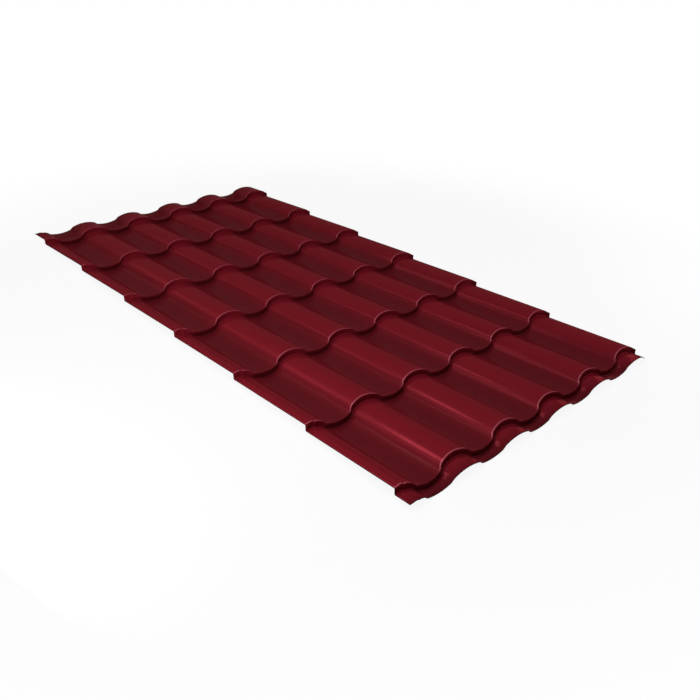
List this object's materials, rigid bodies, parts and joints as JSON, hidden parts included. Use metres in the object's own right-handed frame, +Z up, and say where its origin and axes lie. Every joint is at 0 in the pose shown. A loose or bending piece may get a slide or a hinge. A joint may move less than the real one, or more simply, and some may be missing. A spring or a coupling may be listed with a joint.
{
  "type": "tile effect metal roofing sheet",
  "caption": "Long corrugated roofing sheet of prepainted steel, pressed with waves and cross steps so that it looks like rows of roof tiles.",
  "frame": {"origin": "under the middle of the sheet, on the floor that it lies on", "axes": "+Y up the slope from the eave edge to the ridge edge, +X across the waves, +Z up"},
  "size_m": [1.17, 2.26, 0.0446],
  "materials": {
    "painted_steel": "satin prepainted coat, wine red above, pale grey back coat below"
  },
  "bodies": {
    "root": {"tile_sheet": "painted_steel"}
  },
  "joints": []
}
